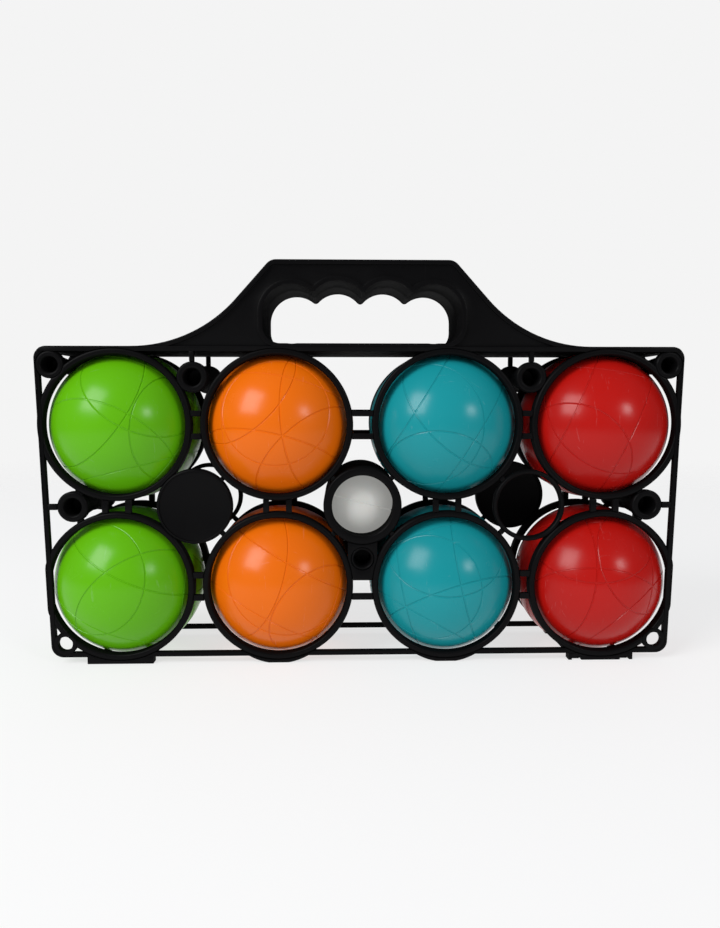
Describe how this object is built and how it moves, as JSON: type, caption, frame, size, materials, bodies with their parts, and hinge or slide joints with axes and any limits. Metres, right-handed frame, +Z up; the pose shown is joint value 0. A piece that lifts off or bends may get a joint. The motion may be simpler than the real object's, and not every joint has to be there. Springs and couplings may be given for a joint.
{
  "type": "bocce ball set",
  "caption": "Moulded plastic carrier of two clip-together halves with a finger-grip handle, holding coloured playing balls and a small jack in round seats.",
  "frame": {"origin": "on the ground under the middle of the closed carrier", "axes": "+X to the right seen from the front, +Y from the front face to the back face, +Z up"},
  "size_m": [0.3102, 0.074, 0.1941],
  "materials": {
    "carrier": "black moulded plastic, soft sheen",
    "ball_green": "glossy green plastic with engraved lines",
    "ball_orange": "glossy orange plastic with engraved lines",
    "ball_teal": "glossy blue-green plastic with engraved lines",
    "ball_red": "glossy red plastic with engraved lines",
    "jack": "off-white plastic, soft sheen"
  },
  "bodies": {
    "back_half": {"back_handle": "carrier", "back_top_shelf": "carrier", "back_left_rail": "carrier", "back_right_rail": "carrier", "back_bottom_bar": "carrier", "back_ring_1": "carrier", "back_ring_2": "carrier", "back_ring_3": "carrier", "back_ring_4": "carrier", "back_ring_5": "carrier", "back_ring_6": "carrier", "back_ring_7": "carrier", "back_ring_8": "carrier", "back_roundel": "carrier", "back_open_ring": "carrier", "back_jack_sleeve": "carrier", "back_posts": "carrier", "back_braces": "carrier", "back_feet": "carrier", "back_eyelets": "carrier"},
    "front_half": {"front_handle": "carrier", "front_top_shelf": "carrier", "front_left_rail": "carrier", "front_right_rail": "carrier", "front_bottom_bar": "carrier", "front_ring_1": "carrier", "front_ring_2": "carrier", "front_ring_3": "carrier", "front_ring_4": "carrier", "front_ring_5": "carrier", "front_ring_6": "carrier", "front_ring_7": "carrier", "front_ring_8": "carrier", "front_roundel": "carrier", "front_open_ring": "carrier", "front_jack_sleeve": "carrier", "front_posts": "carrier", "front_braces": "carrier", "front_feet": "carrier", "front_eyelets": "carrier"},
    "ball_1": {"ball_1_shell": "ball_green", "ball_1_plug": "ball_green"},
    "ball_2": {"ball_2_shell": "ball_orange", "ball_2_plug": "ball_orange"},
    "ball_3": {"ball_3_shell": "ball_teal", "ball_3_plug": "ball_teal"},
    "ball_4": {"ball_4_shell": "ball_red", "ball_4_plug": "ball_red"},
    "ball_5": {"ball_5_shell": "ball_green", "ball_5_plug": "ball_green"},
    "ball_6": {"ball_6_shell": "ball_orange", "ball_6_plug": "ball_orange"},
    "ball_7": {"ball_7_shell": "ball_teal", "ball_7_plug": "ball_teal"},
    "ball_8": {"ball_8_shell": "ball_red", "ball_8_plug": "ball_red"},
    "jack_ball": {"jack": "jack"}
  },
  "joints": [
    {"name": "halves_part", "type": "slide", "parent": "back_half", "child": "front_half", "axis": [0, -1, 0], "range_m": [0, 0.08]},
    {"name": "ball_1_out", "type": "slide", "parent": "back_half", "child": "ball_1", "axis": [0, -1, 0], "range_m": [0, 0.04]},
    {"name": "ball_2_out", "type": "slide", "parent": "back_half", "child": "ball_2", "axis": [0, -1, 0], "range_m": [0, 0.04]},
    {"name": "ball_3_out", "type": "slide", "parent": "back_half", "child": "ball_3", "axis": [0, -1, 0], "range_m": [0, 0.04]},
    {"name": "ball_4_out", "type": "slide", "parent": "back_half", "child": "ball_4", "axis": [0, -1, 0], "range_m": [0, 0.04]},
    {"name": "ball_5_out", "type": "slide", "parent": "back_half", "child": "ball_5", "axis": [0, -1, 0], "range_m": [0, 0.04]},
    {"name": "ball_6_out", "type": "slide", "parent": "back_half", "child": "ball_6", "axis": [0, -1, 0], "range_m": [0, 0.04]},
    {"name": "ball_7_out", "type": "slide", "parent": "back_half", "child": "ball_7", "axis": [0, -1, 0], "range_m": [0, 0.04]},
    {"name": "ball_8_out", "type": "slide", "parent": "back_half", "child": "ball_8", "axis": [0, -1, 0], "range_m": [0, 0.04]},
    {"name": "jack_out", "type": "slide", "parent": "back_half", "child": "jack_ball", "axis": [0, -1, 0], "range_m": [0, 0.04]}
  ],
  "couplings": [
    {"joint": "ball_1_out", "follows": "halves_part", "ratio": 0.5},
    {"joint": "ball_2_out", "follows": "halves_part", "ratio": 0.5},
    {"joint": "ball_3_out", "follows": "halves_part", "ratio": 0.5},
    {"joint": "ball_4_out", "follows": "halves_part", "ratio": 0.5},
    {"joint": "ball_5_out", "follows": "halves_part", "ratio": 0.5},
    {"joint": "ball_6_out", "follows": "halves_part", "ratio": 0.5},
    {"joint": "ball_7_out", "follows": "halves_part", "ratio": 0.5},
    {"joint": "ball_8_out", "follows": "halves_part", "ratio": 0.5},
    {"joint": "jack_out", "follows": "halves_part", "ratio": 0.5}
  ]
}
